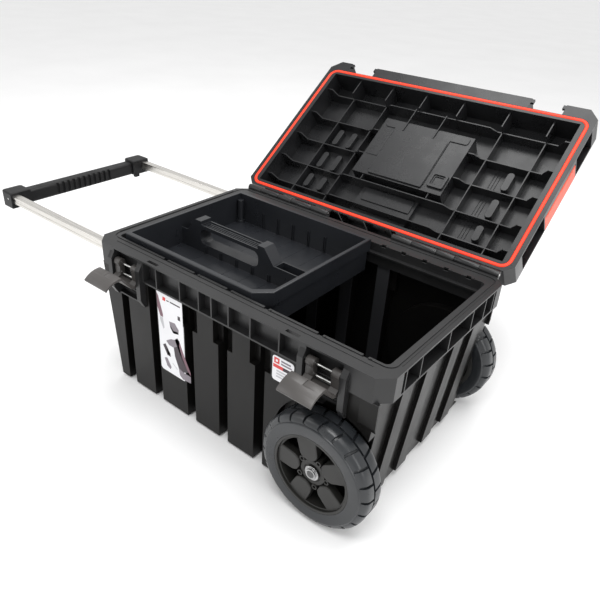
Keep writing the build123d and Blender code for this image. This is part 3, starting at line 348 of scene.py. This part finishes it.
def make_large_label():
    """White film with plain drawings of boxes; it has no words or marks."""
    low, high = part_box("large_label")
    notch_z = 0.114  # the notch at the upper right, from the label's lower edge
    notch_x = 0.062
    width, height = high.x - low.x, high.z - low.z
    front = high.y - low.y

    def place(a, b, depth):
        return (low.x + a, high.y - depth, low.z + b)

    mesh = bmesh.new()
    outline = [(0.004, 0), (width - 0.004, 0), (width, 0.004), (width, notch_z), (notch_x, notch_z),
               (notch_x, height), (0, height), (0, 0.004)]
    prism(mesh, outline, 0, front - FILM, place, 0)
    millimetre = 0.001
    drawings = [
        (3, [(14, 146), (21, 146), (22, 153), (15, 153)]),
        (2, [(24, 148), (30, 148), (30, 150), (24, 150)]),
        (2, [(33, 148), (57, 148), (57, 150.5), (33, 150.5)]),
        (4, [(0, 156), (4, 150), (13, 118), (13, 112), (6, 112), (0, 128)]),
        (5, [(4, 111), (12, 111), (15, 92), (12, 88), (5, 104)]),
        (2, [(50, 122), (56, 122), (56, 130), (50, 130)]),
        (1, [(28, 110), (42, 112), (51, 102), (50, 93), (37, 90), (30, 99)]),
        (2, [(30, 99), (37, 90), (50, 93), (49, 97), (37, 95), (31, 103)]),
        (1, [(17, 66), (30, 75), (38, 77), (46, 84), (52, 80), (50, 70), (36, 60), (24, 60)]),
        (4, [(40, 77), (46, 84), (52, 78), (62, 54), (76, 26), (76, 20), (66, 30), (52, 52)]),
        (2, [(36, 60), (50, 70), (56, 50), (70, 24), (58, 18), (46, 22), (38, 42)]),
        (1, [(46, 22), (58, 18), (76, 18), (76, 4), (56, 2), (48, 8)]),
        (2, [(8, 54), (15, 59), (26, 42), (27, 36), (18, 36)]),
        (4, [(16, 50), (24, 44), (26, 40), (20, 38)]),
        (1, [(10, 27), (17, 30), (27, 14), (24, 8), (16, 12)]),
        (5, [(30, 24), (42, 16), (43, 17.5), (31, 25.5)]),
    ]
    for material, points in drawings:
        shape = [(a * millimetre, b * millimetre) for a, b in points]
        prism(mesh, shape, front - FILM, front - FILM / 2, place, material)
    finish_piece("large_label_film", mesh, PRINTS, "box", replaces=["large_label"])


def make_small_label():
    """A small round-cornered film with bands and blocks of colour."""
    low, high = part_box("small_label")
    front = high.y - low.y

    def place(a, b, depth):
        return (low.x + a, high.y - depth, low.z + b)

    mesh = bmesh.new()
    prism(mesh, rounded((0, 0), (high.x - low.x, high.z - low.z), 0.005), 0, front - FILM, place, 0)
    blocks = [
        (3, (0.003, 0.031), (0.013, 0.041)),
        (0, (0.006, 0.034), (0.010, 0.038)),
        (1, (0.016, 0.037), (0.034, 0.040)),
        (1, (0.016, 0.032), (0.036, 0.035)),
        (3, (0.0015, 0.023), (0.020, 0.029)),
        (2, (0.020, 0.023), (0.0385, 0.029)),
        (5, (0.008, 0.017), (0.032, 0.020)),
        (5, (0.008, 0.012), (0.028, 0.015)),
        (5, (0.008, 0.007), (0.030, 0.010)),
    ]
    for order, (material, corner, opposite) in enumerate(blocks):
        top = front - FILM / 2 if order != 1 else front - FILM / 4
        bar(mesh, (*corner, front - FILM), (*opposite, top), place, material)
    finish_piece("small_label_film", mesh, PRINTS, "box", replaces=["small_label"])


# ---------------------------------------------------------------- wheels
TREAD_PITCHES = 22
TREAD_CUT = 0.0042
TREAD_FLOOR = 0.0845  # smallest radius the grooves reach
TREAD_SLANT = 3.4  # degrees at the edges of the tread
BLOCK_MIDDLE = 5.2  # degrees within one pitch
GROOVE_ANGLES = (0.0, 0.35, 2.3, 2.65)  # degrees within one pitch
# section of the tyre from its outer face inwards: place across, radius, and which row of blocks it is in
TYRE_SECTION = [
    (0.0006, 0.0660, 0), (0.0, 0.0672, 0), (0.0, 0.0830, 0), (0.0008, 0.0845, 0), (0.0020, 0.0850, 0),
    (0.0028, 0.0875, 1), (0.0050, 0.0915, 1), (0.0080, 0.0940, 1), (0.0115, 0.0950, 1), (0.0170, 0.0950, 1),
    (0.0222, 0.0948, 1), (0.0226, 0.0912, 0), (0.0252, 0.0912, 0), (0.0256, 0.0948, 2), (0.0310, 0.0950, 2),
    (0.0375, 0.0950, 2), (0.0410, 0.0940, 2), (0.0440, 0.0915, 2), (0.0462, 0.0875, 2), (0.0470, 0.0850, 0),
    (0.0482, 0.0845, 0), (0.0490, 0.0830, 0), (0.0490, 0.0672, 0), (0.0484, 0.0660, 0),
]


def make_tyre(name, side):
    """A solid tyre with two rows of staggered, slanted blocks."""
    low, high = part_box(f"tyre_{name}")
    centre = ((low.x + high.x) / 2, (low.z + high.z) / 2)
    face = high.y if side > 0 else low.y
    pitch = 360 / TREAD_PITCHES
    first = [*GROOVE_ANGLES, BLOCK_MIDDLE]
    angles = [k * pitch + a for k in range(TREAD_PITCHES) for a in (*first, *[pitch / 2 + b for b in first])]
    inside = {1: range(1, 3), 2: range(6, 8)}  # places in the pitch where each row's groove lies
    middle = 0.0245
    mesh = bmesh.new()
    columns = []
    for order, angle in enumerate(angles):
        column = []
        for across, radius, row in TYRE_SECTION:
            if row and order % len(first * 2) in inside[row]:
                radius = max(radius - TREAD_CUT, TREAD_FLOOR)
            slant = TREAD_SLANT * min(abs(across - middle) / middle, 1) if row else 0
            turn = math.radians(angle + slant)
            point = (centre[0] + radius * math.cos(turn), face - side * across,
                     centre[1] + radius * math.sin(turn))
            column.append(mesh.verts.new(point))
        columns.append(column)
    for k, column in enumerate(columns):
        after = columns[(k + 1) % len(columns)]
        for j in range(len(column)):
            up = (j + 1) % len(column)
            mesh.faces.new((column[j], column[up], after[up], after[j]))
    finish_piece(f"tread_{name}", mesh, [tyre_black], f"wheel_{name}", 0.0004, 2, 28,
                 [f"tyre_{name}"])


def lathe(mesh, section, centre, steps):
    """Add a closed ring: a section of (y, radius) points turned about a line along Y."""
    columns = []
    for k in range(steps):
        turn = 2 * math.pi * k / steps
        columns.append([mesh.verts.new((centre[0] + r * math.cos(turn), y, centre[1] + r * math.sin(turn)))
                        for y, r in section])
    for k, column in enumerate(columns):
        after = columns[(k + 1) % steps]
        for j in range(len(column)):
            up = (j + 1) % len(column)
            mesh.faces.new((column[j], column[up], after[up], after[j]))


SPOKES = 5
SPOKE_START = 104  # degrees from +X towards +Z


def make_hub(name, side):
    """Rim ring, recessed web, five broad bevelled spokes and a ribbed centre."""
    low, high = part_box(f"wheel_hub_{name}")
    centre = ((low.x + high.x) / 2, (low.z + high.z) / 2)
    face = high.y if side > 0 else low.y
    bore = 0.0061

    def ring(outer, inner, front, back):
        """A ring with eased edges; front and back are depths behind the wheel's outer face."""
        ease = 0.0006
        depths = [(front, inner + ease), (front, outer - ease), (front + ease, outer), (back, outer),
                  (back, inner), (front + ease, inner)]
        lathe(mesh, [(face - side * depth, radius) for depth, radius in depths], centre, 120)

    mesh = bmesh.new()
    ring(0.0660, 0.0615, 0.0004, 0.0490)
    ring(0.0617, 0.0585, 0.0040, 0.0490)
    ring(0.0590, 0.0200, 0.0360, 0.0400)
    ring(0.0215, 0.0145, 0.0075, 0.0490)
    ring(0.0150, bore, 0.0090, 0.0490)
    finish_piece(f"hub_shell_{name}", mesh, [hub_black], f"wheel_{name}", 0.0, 1, 35,
                 [f"wheel_hub_{name}"])

    mesh = bmesh.new()
    for k in range(SPOKES):
        turn = math.radians(SPOKE_START + 360 * k / SPOKES)
        axis = (math.cos(turn), math.sin(turn))

        def place(along, across, depth):
            return (centre[0] + along * axis[0] - across * axis[1], face - side * depth,
                    centre[1] + along * axis[1] + across * axis[0])

        outline = [(0.0600, -0.0175), (0.0600, 0.0175), (0.0320, 0.0155), (0.0250, 0.0115), (0.0212, 0.0)]
        outline = outline + [(0.0250, -0.0115), (0.0320, -0.0155)]
        prism(mesh, outline, 0.0040, 0.0180, place)
        web = [(0.0600, -0.0040), (0.0600, 0.0040), (0.0180, 0.0040), (0.0180, -0.0040)]
        prism(mesh, web, 0.0170, 0.0370, place)
    finish_piece(f"spokes_{name}", mesh, [hub_black], f"wheel_{name}", 0.0022, 3, 35)

    mesh = bmesh.new()
    for k in range(SPOKES):
        turn = math.radians(SPOKE_START + 360 * (k + 0.5) / SPOKES)
        spot = (centre[0] + 0.0250 * math.cos(turn), centre[1] + 0.0250 * math.sin(turn))
        section = [(face - side * d, r) for d, r in ((0.0060, 0.0026), (0.0060, 0.0046), (0.0360, 0.0050),
                                                     (0.0360, 0.0022))]
        lathe(mesh, section, spot, 24)
    finish_piece(f"hub_bosses_{name}", mesh, [hub_black], f"wheel_{name}", 0.0004, 2, 35)


# ---------------------------------------------------------------- tray
def make_tray_details():
    """Cross lines on the floor, a corner column and ridges on top of the grip."""
    low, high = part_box("tray")
    wall, spine_front, spine_rear = 0.0085, -0.0230, 0.0030
    floor = low.z + 0.0025
    slot_pitch = 0.0390
    first_slot = -0.0970 - slot_pitch * 2
    grip_middle, grip_half = -0.1370, 0.066
    sunk = 0.0004  # how far the pieces start below the floor

    mesh = bmesh.new()
    for k in range(-1, 6):
        x = first_slot + slot_pitch * (k + 0.5)
        for start, end in ((low.y + wall, spine_front), (spine_rear, high.y - wall)):
            bar(mesh, (x - 0.0005, start + 0.002, floor - sunk),
                (x + 0.0005, end - 0.002, floor + 0.0004), straight)
    for y in (-0.0150, -0.0100, -0.0050):
        bar(mesh, (grip_middle - grip_half, y - 0.0009, high.z - 0.0106),
            (grip_middle + grip_half, y + 0.0009, high.z - 0.0082), straight)
    corner = (low.x + 0.0130, high.y - 0.0150)
    prism(mesh, arc(corner, 0.0065, 0, 345, 23), floor - sunk, high.z - 0.0130, straight)
    prism(mesh, arc(corner, 0.0085, 0, 345, 23), floor - sunk, floor + 0.0050, straight)
    finish_piece("tray_ridges", mesh, [tray_black], "tray", 0.0004, 2, 35)


# ---------------------------------------------------------------- rim
def make_rim_details():
    """Beads along the front and both ends of the rim's top, and small nubs beside the opening."""
    low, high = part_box("tub_rim")
    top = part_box("tray")[0].z + 0.0540  # the rim's top, above the tray's underside
    opening_y = 0.1520
    bead_low, bead_high = top - 0.0003, top + 0.0007
    nub_y, nub_radius, nub_high = opening_y + 0.0030, 0.0011, top + 0.0010

    mesh = bmesh.new()
    bar(mesh, (-0.2640, -opening_y - 0.0156, bead_low), (0.2640, -opening_y - 0.0142, bead_high), straight)
    for x in (low.x + 0.0075, high.x - 0.0090):
        bar(mesh, (x, -0.1400, bead_low), (x + 0.0014, 0.1500, bead_high), straight)
    for x in (-0.1420, -0.0710, 0.0020, 0.0790, 0.1780, 0.2530):
        prism(mesh, arc((x, -nub_y), nub_radius, 0, 330, 11), bead_low, nub_high, straight)
    for x in (-0.0810, 0.0070, 0.0900, 0.1310, 0.1730, 0.2140, 0.2560):
        prism(mesh, arc((x, nub_y), nub_radius, 0, 330, 11), bead_low, nub_high, straight)
    finish_piece("rim_beads", mesh, [rim_black], "box", 0.0003, 2, 35)


# ---------------------------------------------------------------- lid
def lid_place():
    """A function that puts a point given along the lid, from its hinge and out of its open side."""
    hinge = next(j for j in frame["joints"] if j["name"] == "lid_hinge")
    clip = next(j for j in frame["joints"] if j["name"] == "side_clip_left_hinge")
    origin = Vector(hinge["pos_m"])
    along = Vector(clip["axis"]).normalized()
    if along.z < 0:
        along = -along
    out = Vector((1, 0, 0)).cross(along)

    def place(u, v, w):
        return origin + Vector((u, 0, 0)) + v * along + w * out

    return place


def make_lid_details():
    """Plates, short ribs and a square socket on the raised middle, and moulded bulges in the pockets."""
    place = lid_place()
    mesh = bmesh.new()
    prism(mesh, rounded((-0.0620, 0.1260), (0.0600, 0.2430), 0.0030), -0.0145, -0.0105, place)
    prism(mesh, rounded((-0.0900, 0.2470), (0.0980, 0.2655), 0.0060), -0.0145, -0.0122, place)
    prism(mesh, rounded((-0.0940, 0.1700), (-0.0660, 0.2420), 0.0030), -0.0145, -0.0128, place)
    prism(mesh, rounded((-0.0560, 0.0760), (0.0560, 0.1050), 0.0030), -0.0385, -0.0355, place)
    prism(mesh, rounded((-0.0600, 0.0330), (0.0500, 0.0500), 0.0030), -0.0385, -0.0365, place)
    finish_piece("lid_plates", mesh, [lid_black], "lid", 0.0012, 3, 35)

    mesh = bmesh.new()
    for u in (-0.0450, 0.0250):
        bar(mesh, (u - 0.0011, 0.2430, -0.0150), (u + 0.0011, 0.3040, -0.0095), place)
    for u, v in ((-0.0700, 0.1140), (0.0800, 0.1160)):
        bar(mesh, (u - 0.0011, v - 0.0060, -0.0480), (u + 0.0011, v + 0.0080, -0.0160), place)
    band(mesh, rounded((0.0680, 0.1340), (0.1020, 0.1680), 0.0040),
         rounded((0.0730, 0.1390), (0.0970, 0.1630), 0.0030), -0.0145, -0.0095, place)
    band(mesh, rounded((0.0710, 0.1370), (0.0990, 0.1650), 0.0035),
         rounded((0.0760, 0.1420), (0.0940, 0.1600), 0.0020), -0.0145, -0.0120, place)
    finish_piece("lid_ribs", mesh, [lid_black], "lid", 0.0006, 2, 35)

    mesh = bmesh.new()
    floor = -0.0475
    for v, length in ((0.0640, 0.034), (0.1180, 0.042), (0.1830, 0.042)):
        for u in (-0.1930, -0.1580):
            prism(mesh, rounded((u - 0.0065, v), (u + 0.0065, v + length), 0.0062), floor, -0.0350, place)
        prism(mesh, rounded((0.1930, v), (0.2070, v + length), 0.0066), floor, -0.0310, place)
        for u in (0.1660, 0.1720, 0.1780):
            bar(mesh, (u - 0.0006, v - 0.004, floor), (u + 0.0006, v + length + 0.004, floor + 0.0016), place)
        prism(mesh, arc((-0.1340, v + length / 2), 0.0018, 0, 330, 11), floor, -0.0440, place)
    finish_piece("lid_bulges", mesh, [lid_black], "lid", 0.0022, 3, 35)


make_large_label()
make_small_label()
make_tray_details()
make_rim_details()
make_lid_details()
for side_name, side_sign in SIDES.items():
    make_tyre(side_name, side_sign)
    make_hub(side_name, side_sign)


# ---------------------------------------------------------------- floor, light and camera
def make_floor():
    """A plain pale floor, well past the object's shadow."""
    half = 30.0
    mesh = bpy.data.meshes.new("floor")
    corners = [(-half, -half, 0), (half, -half, 0), (half, half, 0), (-half, half, 0)]
    mesh.from_pydata(corners, [], [(0, 1, 2, 3)])
    floor = bpy.data.objects.new("floor", mesh)
    scene.collection.objects.link(floor)
    material, shader = new_material("floor_white")
    dust = object_noise(material, 3.0)
    tones = ramp(material, dust, [(0.3, (0.93, 0.93, 0.93)), (0.7, (0.96, 0.96, 0.96))])
    material.node_tree.links.new(tones, shader.inputs["Base Color"])
    shader.inputs["Roughness"].default_value = 0.9
    mesh.materials.append(material)


def area_light(name, place, target, size, power):
    """A soft box aimed at a point."""
    light = bpy.data.lights.new(name, "AREA")
    light.shape = "RECTANGLE"
    light.size, light.size_y = size
    light.energy = power
    obj = bpy.data.objects.new(name, light)
    obj.location = place
    obj.rotation_euler = (Vector(target) - Vector(place)).to_track_quat("-Z", "Y").to_euler()
    scene.collection.objects.link(obj)


def make_lights():
    """Bright even surroundings and four soft boxes: overhead, above the front, front left and right."""
    world = bpy.data.worlds.new("studio")
    scene.world = world
    world.use_nodes = True
    background = world.node_tree.nodes["Background"]
    background.inputs["Color"].default_value = (1, 1, 1, 1)
    background.inputs["Strength"].default_value = 0.86
    centre = (0, 0, 0.2)
    area_light("overhead", (0.1, 0.5, 2.2), centre, (2.0, 1.2), 30)
    area_light("above_front", (0.5, -0.9, 2.3), (0.15, 0.1, 0.15), (0.9, 0.6), 16)
    area_light("front_left", (-1.6, -1.8, 1.5), centre, (0.8, 0.8), 6)
    area_light("right", (2.2, -0.4, 1.0), centre, (0.6, 1.4), 10)
    scene.view_settings.view_transform = "Standard"


CAMERA_AT = Vector((0.5628, -0.7350, 0.7511))
CAMERA_AIM = Vector((-0.0068, 0.0288, 0.1847))
CAMERA_ROLL = 3.79  # degrees
CAMERA_LENS = 36.55  # millimetres, on a 36 mm sensor


def make_camera():
    """The viewing angle of the reference, a little rolled."""
    camera = bpy.data.cameras.new("camera")
    camera.sensor_width = 36.0
    camera.lens = CAMERA_LENS
    camera.clip_start = 0.02
    obj = bpy.data.objects.new("camera", camera)
    aim = (CAMERA_AIM - CAMERA_AT).to_track_quat("-Z", "Y").to_matrix()
    roll = Matrix.Rotation(math.radians(CAMERA_ROLL), 3, "Z")
    obj.matrix_world = Matrix.Translation(CAMERA_AT) @ (aim @ roll).to_4x4()
    scene.collection.objects.link(obj)
    scene.camera = obj


make_floor()
make_lights()
make_camera()
